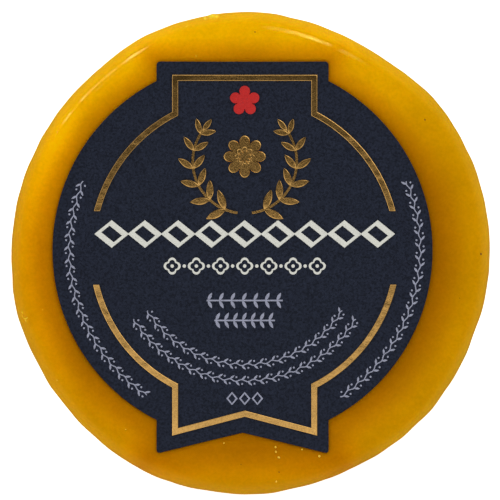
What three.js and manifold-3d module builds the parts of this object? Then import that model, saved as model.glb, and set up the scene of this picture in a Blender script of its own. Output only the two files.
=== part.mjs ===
// A small truckle of smoked cheddar, sealed in a coat of amber wax, with a badge-shaped paper label
// on its top face. All lengths are in millimetres and +Z is up. The origin is the middle of the
// base, and the label reads upright when it is seen from above with +Y away from the viewer.
import * as THREE from "three";
import { mergeVertices } from "three/addons/utils/BufferGeometryUtils.js";
import Module from "manifold-3d";

// The truckle
const DIAMETER = 80;
const HEIGHT = 45;
const CREST_RADIUS = 36.6; // the raised rim is highest here
const DISH_DEPTH = 2.5; // how far the middle of the top lies under the rim
const DISH_FLOOR_RADIUS = 30.8;
const DISH_FLOOR_SAG = 0.9; // the floor itself is a shallow bowl
const SHOULDER_DROP = 5.6; // height that each rounded shoulder takes up
const SHOULDER_FULLNESS = 2.4; // 2 is a quarter of an ellipse, and more is fuller
const WALL_BULGE = 0.45; // how much wider the wall is at mid height than at its ends
const FOOT_RADIUS = 35.2; // the truckle rests on a flat ring, and this is its outer edge
const FOOT_WIDTH = 2.6;
const BASE_HOLLOW_DEPTH = 1.1; // inside that ring the base is a little hollow
const BASE_HOLLOW_FLOOR_RADIUS = 22;

// Dipped wax is never quite round. Each row is a set of lobes: how many there are, how far they
// stand out, and the angle of one lobe's crest, anticlockwise from +X.
const OUTLINE_LOBES = [
  { lobes: 2, rise: 0.12, crestDeg: 65 },
  { lobes: 3, rise: 0.2, crestDeg: 0 },
  { lobes: 4, rise: 0.14, crestDeg: 10 },
  { lobes: 5, rise: 0.14, crestDeg: 30 },
  { lobes: 6, rise: 0.07, crestDeg: 27 },
  { lobes: 7, rise: 0.05, crestDeg: -12 },
];
const WALL_LOBES = [
  { lobes: 9, rise: 0.07, crestDeg: 12 },
  { lobes: 14, rise: 0.04, crestDeg: 3 },
];
const WALL_LEAN_DEG = 0.8; // how far the lobes of the wall turn for each millimetre of height
const RIM_LOBES = [
  { lobes: 2, rise: 0.14, crestDeg: 110 },
  { lobes: 3, rise: 0.1, crestDeg: 75 },
  { lobes: 5, rise: 0.06, crestDeg: 20 },
];

// The label: a disc with a ribbon behind it that ends in a swallow tail
const LABEL_CENTRE = new THREE.Vector2(-1.2, 0.55); // stuck on by hand, a little off the middle
const LABEL_RADIUS = 31.4;
const RIBBON_HALF_WIDTH = 14.2;
const RIBBON_TOP_Y = 31.2;
const NOTCH_Y = -30.1;
const TAIL_SLOPE = 0.24; // how steeply the swallow tail falls from its notch to its tips
const CORNER_ROUND = 0.6;
const PAPER = 0.3;
const GLUE = 0.1; // between the wax and the paper

// The print, which lies a hair to the right of the cut edge, as a press leaves it
const PRINT_SHIFT = new THREE.Vector2(0.35, 0.13);
const PRINT_RELIEF = 0.15;
const PRINT_GAP = 0.05; // between the paper and the print

// The gold line inside the label's edge, in an upper and a lower half
const BORDER = {
  line: 0.95,
  radius: 25.24,
  halfWidth: 11.5,
  topY: 28.4,
  apexY: -27.1,
  tailSlope: 0.26,
  upperEndsY: 6.4,
  lowerEndsY: -5.8,
};

// The ornaments
const TITLE = { y: 2.6, links: 9, pitch: 5.5, halfHeight: 2.3, neck: 0.62, thick: 0.95, thin: 0.52 };
const WREATH = { y: 14.6, radius: 8.6, fromDeg: -82, toDeg: 38, stemLine: 0.42 };
const LEAVES = { pairs: 6, length: 3.5, tipShare: 0.7, widthShare: 0.36, leanDeg: 48 };
const ROSETTE = { y: 15.4, petals: 8, radius: 3.5, waistShare: 0.58 };
const RED_FLOWER = { y: 24.6, petals: 5, radius: 2.5, waistShare: 0.5 };

// How finely curved faces are cut into flat ones
const AROUND = 72;
const SHOULDER_STEPS = 7;
const RIM_SLOPE_STEPS = 6;
const WALL_STEPS = 6;
const ARC_STEP_DEG = 5;
const STEM_STEPS = 12;
const PETAL_STEPS = 8;
const WELD = 1e-4; // points closer than this are one point

const WAX = new THREE.MeshStandardMaterial({ color: 0xdb9a05, roughness: 0.38, metalness: 0 });
const NAVY_PAPER = new THREE.MeshStandardMaterial({ color: 0x23272f, roughness: 0.82, metalness: 0 });
const GOLD_FOIL = new THREE.MeshStandardMaterial({ color: 0xb48a4a, roughness: 0.34, metalness: 1 });
const CREAM_INK = new THREE.MeshStandardMaterial({ color: 0xe3e2da, roughness: 0.7, metalness: 0 });
const RED_INK = new THREE.MeshStandardMaterial({ color: 0xd2363a, roughness: 0.65, metalness: 0 });

const { clamp, degToRad, radToDeg, smoothstep } = THREE.MathUtils;
const wasm = await Module();
wasm.setup();

// Turns a closed geometry into a solid that can be cut and joined.
function toSolid(geometry) {
  const bare = new THREE.BufferGeometry();
  bare.setAttribute("position", geometry.getAttribute("position"));
  bare.setIndex(geometry.index);
  const merged = mergeVertices(bare, WELD);
  const vertProperties = new Float32Array(merged.attributes.position.array);
  const triVerts = new Uint32Array(merged.index.array);
  return new wasm.Manifold(new wasm.Mesh({ numProp: 3, vertProperties, triVerts }));
}

// Turns a solid back into a geometry that a mesh can hold.
function toGeometry(solid) {
  const cut = solid.getMesh();
  const geometry = new THREE.BufferGeometry();
  geometry.setAttribute("position", new THREE.BufferAttribute(cut.vertProperties, 3));
  geometry.setIndex(new THREE.BufferAttribute(cut.triVerts, 1));
  geometry.computeVertexNormals();
  return geometry;
}

// Numbers evenly spaced from one value to another, both ends included.
function spread(from, to, steps) {
  return Array.from({ length: steps + 1 }, (_, i) => from + ((to - from) * i) / steps);
}

// How far some sets of lobes stand out together at an angle.
function lobesAt(sets, angle) {
  const one = (set) => set.rise * Math.cos(set.lobes * (angle - degToRad(set.crestDeg)));
  return sets.reduce((sum, set) => sum + one(set), 0);
}

// Height of the top face between the axis and the crest: a shallow bowl, and then a slope that
// takes over at the bowl's own steepness and levels out at the crest.
function dishHeight(radius) {
  const floor = DISH_FLOOR_SAG * Math.min(radius / DISH_FLOOR_RADIUS, 1) ** 2;
  const slopeWidth = CREST_RADIUS - DISH_FLOOR_RADIUS;
  const t = clamp((radius - DISH_FLOOR_RADIUS) / slopeWidth, 0, 1);
  const carriedOn = ((2 * DISH_FLOOR_SAG) / DISH_FLOOR_RADIUS) * slopeWidth * t * (1 - t) ** 2;
  const climb = (DISH_DEPTH - DISH_FLOOR_SAG) * t * t * (3 - 2 * t);
  return HEIGHT - DISH_DEPTH + floor + carriedOn + climb;
}

// Radius of the wall at a height.
function wallRadius(z) {
  const half = HEIGHT / 2;
  return DIAMETER / 2 - WALL_BULGE * ((z - half) / half) ** 2;
}

// How far a rounded shoulder has come across, and how far down, after a turn of 0 to 90 degrees.
function shoulderTurn(turn) {
  const share = 2 / SHOULDER_FULLNESS;
  return { across: Math.sin(turn) ** share, down: 1 - Math.max(Math.cos(turn), 0) ** share };
}

// Height of the upper shoulder between the crest and the wall.
function shoulderHeight(radius) {
  const across = (radius - CREST_RADIUS) / (wallRadius(HEIGHT - SHOULDER_DROP) - CREST_RADIUS);
  return HEIGHT - SHOULDER_DROP * (1 - (1 - across ** SHOULDER_FULLNESS) ** (1 / SHOULDER_FULLNESS));
}

const DISH_RADII = [0, 10, 18, 25, ...spread(DISH_FLOOR_RADIUS, CREST_RADIUS, RIM_SLOPE_STEPS)];

// The truckle's outline from the middle of its base, round the wall, to the middle of its top.
function truckleProfile() {
  const footInner = FOOT_RADIUS - FOOT_WIDTH;
  const baseRadii = [0, 12, ...spread(BASE_HOLLOW_FLOOR_RADIUS, footInner, 3)];
  const base = baseRadii.map((r) => {
    const down = smoothstep(r, BASE_HOLLOW_FLOOR_RADIUS, footInner);
    return new THREE.Vector2(r, BASE_HOLLOW_DEPTH * (1 - down));
  });
  const wallFoot = wallRadius(SHOULDER_DROP);
  const lowerShoulder = spread(0, Math.PI / 2, SHOULDER_STEPS).slice(0, -1).map((turn) => {
    const { across, down } = shoulderTurn(turn);
    return new THREE.Vector2(FOOT_RADIUS + (wallFoot - FOOT_RADIUS) * across, SHOULDER_DROP * down);
  });
  const wall = spread(SHOULDER_DROP, HEIGHT - SHOULDER_DROP, WALL_STEPS).map(
    (z) => new THREE.Vector2(wallRadius(z), z));
  const wallTop = wallRadius(HEIGHT - SHOULDER_DROP);
  const upperShoulder = spread(Math.PI / 2, 0, SHOULDER_STEPS).slice(1, -1).map((turn) => {
    const { across, down } = shoulderTurn(turn);
    return new THREE.Vector2(CREST_RADIUS + (wallTop - CREST_RADIUS) * across, HEIGHT - SHOULDER_DROP * down);
  });
  const top = DISH_RADII.toReversed().map((r) => new THREE.Vector2(r, dishHeight(r)));
  return [...base, ...lowerShoulder, ...wall, ...upperShoulder, ...top];
}

// The outline of a thin layer on the top face, from one height above the wax to another. It
// reaches a little over the crest, as far as the label's tail does.
function layerProfile(from, to) {
  const beyondCrest = spread(CREST_RADIUS, CREST_RADIUS + 1.4, 2).slice(1);
  const face = [
    ...DISH_RADII.map((r) => new THREE.Vector2(r, dishHeight(r))),
    ...beyondCrest.map((r) => new THREE.Vector2(r, shoulderHeight(r))),
  ];
  const lifted = (lift) => face.map((p) => new THREE.Vector2(p.x, p.y + lift));
  return [...lifted(from), ...lifted(to).reverse()];
}

// Spins a profile round the axis and gives it the unevenness of dipped wax. The floor of the top
// stays true, and the lobes grow in from there to the crest and the wall.
function spinUneven(profile) {
  const geometry = new THREE.LatheGeometry(profile, AROUND);
  geometry.rotateX(Math.PI / 2);
  const place = geometry.getAttribute("position");
  for (let i = 0; i < place.count; i++) {
    const point = new THREE.Vector3().fromBufferAttribute(place, i);
    const radius = Math.hypot(point.x, point.y);
    const angle = Math.atan2(point.y, point.x);
    const outer = smoothstep(radius, DISH_FLOOR_RADIUS, CREST_RADIUS);
    const onWall = smoothstep(radius, CREST_RADIUS, DIAMETER / 2 - 1);
    const upper = smoothstep(point.z, HEIGHT / 2, HEIGHT - DISH_DEPTH);
    const lean = degToRad(WALL_LEAN_DEG * (point.z - HEIGHT / 2));
    const out = outer * lobesAt(OUTLINE_LOBES, angle) + onWall * lobesAt(WALL_LOBES, angle + lean);
    const grown = radius > 0 ? (radius + out) / radius : 1;
    const up = upper * outer * lobesAt(RIM_LOBES, angle);
    place.setXYZ(i, point.x * grown, point.y * grown, point.z + up);
  }
  return toSolid(geometry);
}

// Points along an arc about the origin, both ends included.
function arcPoints(radius, fromDeg, toDeg) {
  const steps = Math.max(2, Math.ceil(Math.abs(toDeg - fromDeg) / ARC_STEP_DEG));
  return spread(degToRad(fromDeg), degToRad(toDeg), steps).map(
    (angle) => new THREE.Vector2(radius * Math.cos(angle), radius * Math.sin(angle)));
}

const mirrored = (points) => points.map((p) => new THREE.Vector2(-p.x, p.y)).reverse();
const angleAtY = (radius, y) => radToDeg(Math.asin(y / radius));
const angleAtX = (radius, x) => radToDeg(Math.acos(x / radius));

// A curve that rounds a corner, from one of its sides to the other.
function roundCorner(before, corner, after) {
  const start = corner.clone().lerp(before, CORNER_ROUND / corner.distanceTo(before));
  const end = corner.clone().lerp(after, CORNER_ROUND / corner.distanceTo(after));
  return new THREE.QuadraticBezierCurve(start, corner, end).getPoints(4);
}

// The label's outline: its right side from the top edge to the notch, and the same mirrored.
function labelShape() {
  const meetDeg = angleAtX(LABEL_RADIUS, RIBBON_HALF_WIDTH);
  const arc = arcPoints(LABEL_RADIUS, meetDeg, -meetDeg);
  const topMiddle = new THREE.Vector2(0, RIBBON_TOP_Y);
  const topCorner = new THREE.Vector2(RIBBON_HALF_WIDTH, RIBBON_TOP_Y);
  const tip = new THREE.Vector2(RIBBON_HALF_WIDTH, NOTCH_Y - TAIL_SLOPE * RIBBON_HALF_WIDTH);
  const notch = new THREE.Vector2(0, NOTCH_Y);
  const right = [
    ...roundCorner(topMiddle, topCorner, arc[0]),
    ...arc,
    ...roundCorner(arc.at(-1), tip, notch),
  ];
  return new THREE.Shape([...right, notch, ...mirrored(right)]);
}

// The right side of the upper border, moved outwards from the middle of its line.
function upperBorderSide(out) {
  const radius = BORDER.radius + out;
  const halfWidth = BORDER.halfWidth + out;
  const arc = arcPoints(radius, angleAtX(radius, halfWidth), angleAtY(radius, BORDER.upperEndsY));
  return [new THREE.Vector2(halfWidth, BORDER.topY + out), ...arc];
}

// The right side of the lower border, moved outwards from the middle of its line.
function lowerBorderSide(out) {
  const radius = BORDER.radius + out;
  const halfWidth = BORDER.halfWidth + out;
  const arc = arcPoints(radius, angleAtY(radius, BORDER.lowerEndsY), -angleAtX(radius, halfWidth));
  const apex = new THREE.Vector2(0, BORDER.apexY - out * Math.hypot(1, BORDER.tailSlope));
  const tip = new THREE.Vector2(halfWidth, apex.y - BORDER.tailSlope * halfWidth);
  return [...arc, tip, apex];
}

// The band between a border's outer and inner edge, each with its mirrored half.
function upperBorderShape() {
  const edge = (out) => [...mirrored(upperBorderSide(out)), ...upperBorderSide(out)];
  return new THREE.Shape([...edge(BORDER.line / 2), ...edge(-BORDER.line / 2).reverse()]);
}

function lowerBorderShape() {
  const edge = (out) => [...lowerBorderSide(out), ...mirrored(lowerBorderSide(out)).slice(1)];
  return new THREE.Shape([...edge(BORDER.line / 2), ...edge(-BORDER.line / 2).reverse()]);
}

// A chain of hollow lozenges, joined at their tips by short necks. Its falling strokes are thick and
// its rising ones thin, as a broad pen leaves them, so each hole is off the lozenge's own shape.
function lozengeChain({ y, links, pitch, halfHeight, neck, thick, thin }) {
  const end = (links * pitch) / 2;
  const middles = spread(-end + pitch / 2, end - pitch / 2, links - 1);
  const upper = middles.flatMap((x) => [
    new THREE.Vector2(x, y + halfHeight),
    new THREE.Vector2(x + pitch / 2, y + neck / 2),
  ]);
  upper.pop();
  const lower = upper.map((p) => new THREE.Vector2(p.x, 2 * y - p.y)).reverse();
  const tips = [new THREE.Vector2(-end - neck / 2, y), new THREE.Vector2(end + neck / 2, y)];
  const shape = new THREE.Shape([tips[0], ...upper, tips[1], ...lower]);
  const middleToSide = ((pitch / 2) * halfHeight) / Math.hypot(pitch / 2, halfHeight);
  const rising = 1 - thick / middleToSide;
  const falling = 1 - thin / middleToSide;
  const corners = [[1, 1], [-1, 1], [-1, -1], [1, -1]]; // anticlockwise, against the outline
  shape.holes = middles.map((x) => new THREE.Path(corners.map(([a, b]) => new THREE.Vector2(
    x + (pitch / 4) * (a * rising - b * falling),
    y + (halfHeight / 2) * (a * rising + b * falling),
  ))));
  return shape;
}

// A leaf with two pointed ends, which grows from its stalk in a direction.
function leafShape(stalk, directionDeg, length) {
  const along = new THREE.Vector2(1, 0).rotateAround(new THREE.Vector2(), degToRad(directionDeg));
  const across = new THREE.Vector2(-along.y, along.x);
  const tip = stalk.clone().addScaledVector(along, length);
  const middle = stalk.clone().lerp(tip, 0.45);
  const belly = (side) => middle.clone().addScaledVector(across, side * LEAVES.widthShare * length);
  const right = new THREE.QuadraticBezierCurve(stalk, belly(-1), tip).getPoints(5);
  const left = new THREE.QuadraticBezierCurve(tip, belly(1), stalk).getPoints(5);
  return new THREE.Shape([...right, ...left.slice(1, -1)]);
}

// The right branch of the wreath: a curved stem, leaves in pairs along it, and one at its tip.
function branchShapes() {
  const { y, radius, fromDeg, toDeg, stemLine } = WREATH;
  const at = (deg, out = 0) => {
    const angle = degToRad(deg);
    return new THREE.Vector2(Math.cos(angle), Math.sin(angle))
      .multiplyScalar(radius + out)
      .add(new THREE.Vector2(0, y));
  };
  const stemDegs = spread(fromDeg, toDeg, STEM_STEPS);
  const outer = stemDegs.map((deg) => at(deg, stemLine / 2));
  const inner = stemDegs.map((deg) => at(deg, -stemLine / 2)).reverse();
  const stem = new THREE.Shape([...outer, ...inner]);
  const leafStep = (toDeg - fromDeg) / LEAVES.pairs;
  const leaves = spread(0, LEAVES.pairs - 1, LEAVES.pairs - 1).flatMap((i) => {
    const deg = fromDeg + leafStep * (i + 0.7);
    const length = LEAVES.length * (1 - ((1 - LEAVES.tipShare) * i) / LEAVES.pairs);
    return [-LEAVES.leanDeg, LEAVES.leanDeg].map((lean) => leafShape(at(deg), deg + 90 + lean, length));
  });
  const last = leafShape(at(toDeg - 2), toDeg + 90, LEAVES.length * LEAVES.tipShare);
  return [stem, ...leaves, last];
}

// A flower with rounded petals, drawn as one wavy line about its middle.
function flowerShape({ y, petals, radius, waistShare }) {
  const turns = spread(0, 2 * Math.PI, petals * PETAL_STEPS).slice(0, -1);
  return new THREE.Shape(turns.map((turn) => {
    const swell = Math.abs(Math.cos((petals * turn) / 2)) ** 0.6;
    const r = radius * (waistShare + (1 - waistShare) * swell);
    return new THREE.Vector2(r * Math.sin(turn), y + r * Math.cos(turn));
  }));
}

// Flat shapes drawn the other way round, left for right.
const mirroredShapes = (shapes) => shapes.map((shape) => new THREE.Shape(mirrored(shape.getPoints())));

// Cuts flat shapes out of a layer on the top face, and joins them.
function cutFromLayer(shapes, shift, layer) {
  const prisms = shapes.map((shape) => {
    const geometry = new THREE.ExtrudeGeometry(shape, { depth: HEIGHT, bevelEnabled: false });
    geometry.translate(shift.x, shift.y, HEIGHT / 2);
    return toSolid(geometry);
  });
  return toGeometry(prisms.reduce((all, one) => all.add(one)).intersect(layer));
}

const truckle = new THREE.Group();

function addPart(name, geometry, material) {
  const mesh = new THREE.Mesh(geometry, material);
  mesh.name = name;
  truckle.add(mesh);
}

// The cheese in its coat of wax, one solid
addPart("waxed_cheese", toGeometry(spinUneven(truckleProfile())), WAX);

// The paper label, which follows the dished top
const labelLayer = spinUneven(layerProfile(GLUE, GLUE + PAPER));
addPart("label", cutFromLayer([labelShape()], LABEL_CENTRE, labelLayer), NAVY_PAPER);

// The raised print on the label
const printBottom = GLUE + PAPER + PRINT_GAP;
const printLayer = spinUneven(layerProfile(printBottom, printBottom + PRINT_RELIEF));
const printCentre = LABEL_CENTRE.clone().add(PRINT_SHIFT);

function addPrint(name, shapes, ink) {
  addPart(name, cutFromLayer(shapes, printCentre, printLayer), ink);
}

addPrint("border_upper", [upperBorderShape()], GOLD_FOIL);
addPrint("border_lower", [lowerBorderShape()], GOLD_FOIL);
addPrint("title_chain", [lozengeChain(TITLE)], CREAM_INK);
addPrint("wreath_right", branchShapes(), GOLD_FOIL);
addPrint("wreath_left", mirroredShapes(branchShapes()), GOLD_FOIL);
addPrint("rosette", [flowerShape(ROSETTE)], GOLD_FOIL);
addPrint("red_flower", [flowerShape(RED_FLOWER)], RED_INK);

export default truckle;
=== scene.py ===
# %% [markdown]
# # A small smoked cheddar in amber wax
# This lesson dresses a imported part: a round truckle of cheese that was dipped in coloured wax,
# with a dark paper label on its dished top. The part's plain solids are loaded first and stay
# where they are. Each step then models one finer piece in the place of a solid, and gives it a
# finish made of shader nodes.

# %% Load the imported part
import math
import random

import bmesh
import bpy
from mathutils import Matrix, Vector, noise


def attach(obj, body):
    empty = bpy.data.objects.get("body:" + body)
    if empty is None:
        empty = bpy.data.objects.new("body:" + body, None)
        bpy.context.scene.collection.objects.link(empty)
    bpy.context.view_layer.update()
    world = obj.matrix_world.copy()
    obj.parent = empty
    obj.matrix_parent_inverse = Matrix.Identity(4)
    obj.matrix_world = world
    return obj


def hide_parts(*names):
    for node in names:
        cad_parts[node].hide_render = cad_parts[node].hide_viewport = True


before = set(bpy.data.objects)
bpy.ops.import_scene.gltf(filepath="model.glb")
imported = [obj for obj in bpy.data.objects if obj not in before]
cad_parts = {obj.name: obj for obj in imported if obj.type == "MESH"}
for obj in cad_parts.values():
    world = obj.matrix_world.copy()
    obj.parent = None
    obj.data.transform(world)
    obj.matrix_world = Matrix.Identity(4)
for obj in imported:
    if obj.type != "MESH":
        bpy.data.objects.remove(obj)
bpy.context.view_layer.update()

print("solids:", sorted(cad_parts))

# %% [markdown]
# ## Working in millimetres
# Blender holds metres, but a cheese is easier to think about in millimetres. Every shape below is
# modelled in millimetres and made smaller once, when its mesh is finished. That also keeps bevels
# and insets well away from the tiny lengths at which mesh tools start to merge points.

# %% Small helpers for numbers
MM = 0.001


def spread(start, end, steps):
    """Numbers evenly spaced from start to end, both included."""
    return [start + (end - start) * i / steps for i in range(steps + 1)]


def smoothstep(value, low, high):
    """0 below low, 1 above high, and a soft rise between them."""
    share = min(max((value - low) / (high - low), 0.0), 1.0)
    return share * share * (3 - 2 * share)


def polar(radius, deg, centre=(0.0, 0.0)):
    """The point at an angle on a circle."""
    angle = math.radians(deg)
    return (centre[0] + radius * math.cos(angle), centre[1] + radius * math.sin(angle))


# %% [markdown]
# ## The truckle's shape
# A truckle is pressed in a round mould and then dipped, so it is a turned shape that isn't quite
# true. The sizes are those of the part: a shallow bowl on top, a rim, two rounded shoulders, a
# slightly full wall and a foot ring. The wax adds soft lobes, which are sums of cosines round the
# axis. Writing them as functions means that the label and its print can ask how high the wax is
# under any of their points.

# %% Sizes of the truckle
DIAMETER = 80
HEIGHT = 45
CREST_RADIUS = 36.6
DISH_DEPTH = 2.5
DISH_FLOOR_RADIUS = 30.8
DISH_FLOOR_SAG = 0.9
SHOULDER_DROP = 5.6
SHOULDER_FULLNESS = 2.4
WALL_BULGE = 0.45
FOOT_RADIUS = 35.2
FOOT_WIDTH = 2.6
BASE_HOLLOW_DEPTH = 1.1
BASE_HOLLOW_FLOOR_RADIUS = 22

# Lobes: how many, how far they stand out, and the angle of one crest
OUTLINE_LOBES = [(2, 0.12, 65), (3, 0.2, 0), (4, 0.14, 10), (5, 0.14, 30), (6, 0.07, 27), (7, 0.05, -12)]
WALL_LOBES = [(9, 0.07, 12), (14, 0.04, 3)]
WALL_LEAN_DEG = 0.8
RIM_LOBES = [(2, 0.14, 110), (3, 0.1, 75), (5, 0.06, 20)]


# %% Heights and radii of the true turned shape
def lobes_at(sets, angle):
    """How far some sets of lobes stand out together at an angle."""
    return sum(rise * math.cos(lobes * (angle - math.radians(crest))) for lobes, rise, crest in sets)


def wall_radius(z):
    half = HEIGHT / 2
    return DIAMETER / 2 - WALL_BULGE * ((z - half) / half) ** 2


def dish_height(radius):
    floor = DISH_FLOOR_SAG * min(radius / DISH_FLOOR_RADIUS, 1) ** 2
    slope_width = CREST_RADIUS - DISH_FLOOR_RADIUS
    t = min(max((radius - DISH_FLOOR_RADIUS) / slope_width, 0), 1)
    carried_on = 2 * DISH_FLOOR_SAG / DISH_FLOOR_RADIUS * slope_width * t * (1 - t) ** 2
    return HEIGHT - DISH_DEPTH + floor + carried_on + (DISH_DEPTH - DISH_FLOOR_SAG) * smoothstep(t, 0, 1)


def shoulder_height(radius):
    across = (radius - CREST_RADIUS) / (wall_radius(HEIGHT - SHOULDER_DROP) - CREST_RADIUS)
    drop = 1 - (1 - min(across, 1) ** SHOULDER_FULLNESS) ** (1 / SHOULDER_FULLNESS)
    return HEIGHT - SHOULDER_DROP * drop


def shoulder_turn(turn):
    """How far a shoulder has come across, and how far down, after a turn of 0 to 90 degrees."""
    share = 2 / SHOULDER_FULLNESS
    return math.sin(turn) ** share, 1 - max(math.cos(turn), 0) ** share


# %% [markdown]
# ## Dipped wax is uneven at three scales
# The lobes are the largest scale and belong to the part. Below them come broad dents a centimetre
# across, runs that went down the wall while the wax was warm, and small ripples that make the
# highlights waver. Noise gives all three. They fade out under the label, which was pressed flat.

# %% How the wax leaves the true shape
BROAD_DENT = 0.10
RUN_DEPTH = 0.11
RIPPLE = 0.045
FINE_RIPPLE = 0.012
# Flattened bands of the far rim: inner and outer radius, start and end angle
RIM_BANDS = [(36.8, 37.7, 40, 95), (37.6, 38.1, 108, 155)]


def rim_share(radius):
    return smoothstep(radius, DISH_FLOOR_RADIUS, CREST_RADIUS)


def band_drop(radius, angle):
    """How far two narrow bands of the far rim are flatter than its round shoulder."""
    deg = math.degrees(angle)
    for inner, outer, start, end in RIM_BANDS:
        if inner < radius < outer and start < deg < end:
            share = (radius - inner) / (outer - inner)
            chord = shoulder_height(inner) * (1 - share) + shoulder_height(outer) * share
            along = smoothstep(deg, start, start + 6) * (1 - smoothstep(deg, end - 6, end))
            return (chord - shoulder_height(radius)) * along
    return 0.0


def uneven(point):
    """Moves a point of the true shape to where the lobes have it."""
    radius = math.hypot(point.x, point.y)
    if radius < 1e-6:
        return point.copy()
    angle = math.atan2(point.y, point.x)
    outer = rim_share(radius)
    on_wall = smoothstep(radius, CREST_RADIUS, DIAMETER / 2 - 1)
    upper = smoothstep(point.z, HEIGHT / 2, HEIGHT - DISH_DEPTH)
    lean = math.radians(WALL_LEAN_DEG * (point.z - HEIGHT / 2))
    out = outer * lobes_at(OUTLINE_LOBES, angle) + on_wall * lobes_at(WALL_LOBES, angle + lean)
    grown = (radius + out) / radius
    up = upper * outer * lobes_at(RIM_LOBES, angle)
    if point.z > HEIGHT - SHOULDER_DROP:
        up += band_drop(radius, angle)
    return Vector((point.x * grown, point.y * grown, point.z + up))


def relief(point):
    """How far the wax stands out from the lobed shape at a point, along its normal."""
    radius = math.hypot(point.x, point.y)
    on_wall = smoothstep(radius, 38.2, 39.6)
    broad = BROAD_DENT * noise.noise(point / 12)
    runs = RUN_DEPTH * noise.noise(Vector((point.x / 3.4, point.y / 3.4, point.z / 24 + 7)))
    ripple = RIPPLE * noise.noise(point / 3.0 + Vector((11, 5, 3)))
    fine = FINE_RIPPLE * noise.noise(point / 1.3 + Vector((2, 9, 6)))
    return smoothstep(radius, 33, 37.5) * (broad + ripple + fine) + on_wall * runs


def top_height(x, y):
    """Height of the wax under a point of the top face, with its lobes and its relief."""
    angle = math.atan2(y, x)
    radius = math.hypot(x, y)
    true_radius = radius
    for _ in range(4):
        true_radius = radius - rim_share(true_radius) * lobes_at(OUTLINE_LOBES, angle)
    true_height = dish_height(true_radius) if true_radius < CREST_RADIUS else shoulder_height(true_radius)
    height = true_height + rim_share(true_radius) * lobes_at(RIM_LOBES, angle)
    return height + relief(Vector((x, y, height)))


# %% [markdown]
# ## The camera
# The photograph looks straight down on the top face. One pixel of it is 0.1655 mm of label, so a
# long lens a metre above the label, with its sensor divided by the width that the frame takes in,
# gives the same framing. The middle of the frame falls a little beside the label's own middle,
# because the label was stuck on by hand.

# %% Place the camera
PHOTO_PIXELS = 500
MM_PER_PIXEL = 0.1655
LABEL_CENTRE = (-1.2, 0.55)
LABEL_CENTRE_PIXEL = (242.6, 250.5)
CAMERA_DISTANCE = 1000
SENSOR = 36


def from_pixel(column, row):
    """The place on the top face, in millimetres, that a pixel of the photograph shows."""
    return (
        LABEL_CENTRE[0] + (column - LABEL_CENTRE_PIXEL[0]) * MM_PER_PIXEL,
        LABEL_CENTRE[1] + (LABEL_CENTRE_PIXEL[1] - row) * MM_PER_PIXEL,
    )


def make_camera():
    data = bpy.data.cameras.new("camera")
    data.sensor_width = SENSOR
    data.lens = SENSOR * CAMERA_DISTANCE / (PHOTO_PIXELS * MM_PER_PIXEL)
    data.clip_start = 0.05
    camera = bpy.data.objects.new("camera", data)
    middle = from_pixel(PHOTO_PIXELS / 2, PHOTO_PIXELS / 2)
    camera.location = Vector((*middle, HEIGHT - DISH_DEPTH + CAMERA_DISTANCE)) * MM
    bpy.context.scene.collection.objects.link(camera)
    bpy.context.scene.camera = camera


make_camera()
# %% [markdown]
# ## Building shader trees
# A finish is a tree of nodes. These helpers add a node, set its values and link it in one call, so
# that a material below reads from top to bottom. Colours are written as they are read from a
# screen, and are turned into light values here.


# %% Helpers for shader nodes
def add_node(tree, kind, inputs=None, **settings):
    """Adds a node. Each input is a value, or a socket to link from."""
    made = tree.nodes.new(kind)
    for name, value in settings.items():
        setattr(made, name, value)
    for key, value in (inputs or {}).items():
        if isinstance(value, bpy.types.NodeSocket):
            tree.links.new(value, made.inputs[key])
        else:
            made.inputs[key].default_value = value
    return made


def maths(tree, operation, first, second=0.0, third=0.0):
    return add_node(tree, "ShaderNodeMath", {0: first, 1: second, 2: third}, operation=operation).outputs[0]


def vector_maths(tree, operation, first, second=(0.0, 0.0, 0.0)):
    return add_node(tree, "ShaderNodeVectorMath", {0: first, 1: second}, operation=operation).outputs[0]


def toward(tree, vector, direction):
    """How far a vector reaches in a direction."""
    made = add_node(tree, "ShaderNodeVectorMath", {0: vector, 1: direction}, operation="DOT_PRODUCT")
    return made.outputs["Value"]


def mix_colour(tree, share, first, second, blend="MIX"):
    inputs = {0: share, 6: first, 7: second}
    return add_node(tree, "ShaderNodeMix", inputs, data_type="RGBA", blend_type=blend).outputs[2]


def remap(tree, value, low, high, new_low=0.0, new_high=1.0, curve="SMOOTHSTEP"):
    """Turns a range of values into another one, softly at both ends."""
    inputs = {"Value": value, "From Min": low, "From Max": high, "To Min": new_low, "To Max": new_high}
    return add_node(tree, "ShaderNodeMapRange", inputs, interpolation_type=curve).outputs[0]


def colour_ramp(tree, value, stops):
    """A ramp through colours. Each stop is a place from 0 to 1 and a colour."""
    ramp = add_node(tree, "ShaderNodeValToRGB", {0: value})
    elements = ramp.color_ramp.elements
    while len(elements) < len(stops):
        elements.new(0.5)
    for element, (place, colour) in zip(elements, stops):
        element.position = place
        element.color = colour
    return ramp.outputs[0]


def screen(red, green, blue):
    """A colour as read from the screen, 0 to 255, as light values."""
    def light(level):
        level /= 255
        return level / 12.92 if level <= 0.04045 else ((level + 0.055) / 1.055) ** 2.4
    return (light(red), light(green), light(blue), 1.0)


def new_material(name):
    material = bpy.data.materials.new(name)
    material.use_nodes = True
    material.node_tree.nodes.clear()
    return material, material.node_tree


def show(tree, shader):
    add_node(tree, "ShaderNodeOutputMaterial", {"Surface": shader.outputs[0]})


# %% [markdown]
# ## Two effects that every finish shares
# Wax, paper, foil and ink all have a fine grain and a soft unevenness of colour, only at other
# sizes and strengths. So each effect is a node group, built once. They put out plain values and
# colours, and the shader itself stays in each material.


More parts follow.
